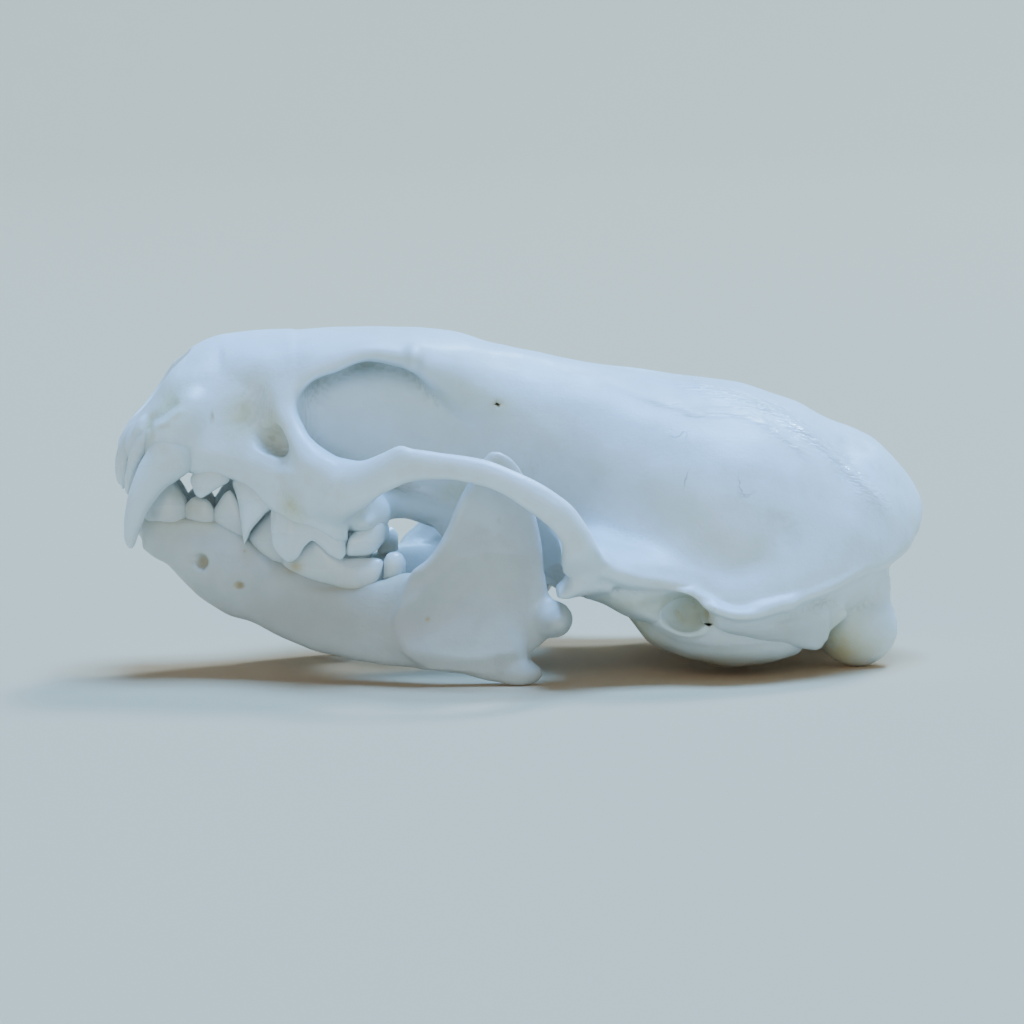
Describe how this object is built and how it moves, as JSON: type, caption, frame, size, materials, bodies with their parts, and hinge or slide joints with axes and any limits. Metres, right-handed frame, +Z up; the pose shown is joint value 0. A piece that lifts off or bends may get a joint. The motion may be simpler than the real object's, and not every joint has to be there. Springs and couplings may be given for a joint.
{
  "type": "mink skull",
  "caption": "Dry mink skull with its lower jaw in place: long low braincase, short muzzle, thin cheek arches, ear capsules and pointed teeth.",
  "frame": {"origin": "on the table, under the middle of the skull's bounding box", "axes": "+X from the nose to the back of the head, +Y to the animal's right side, +Z up from the table"},
  "size_m": [0.067, 0.039, 0.0285],
  "materials": {
    "bone": "clean dry bone, satin, cool white with a few ivory and tan patches",
    "jaw_bone": "clean dry bone of the lower jaw, satin"
  },
  "bodies": {
    "root": {"rostrum": "bone", "orbital_region": "bone", "braincase": "bone", "occipital_region": "bone", "jugal_left": "bone", "jugal_right": "bone", "squamosal_process_left": "bone", "squamosal_process_right": "bone", "auditory_bulla_left": "bone", "auditory_bulla_right": "bone", "mandible_left": "jaw_bone", "mandible_right": "jaw_bone"}
  },
  "joints": []
}
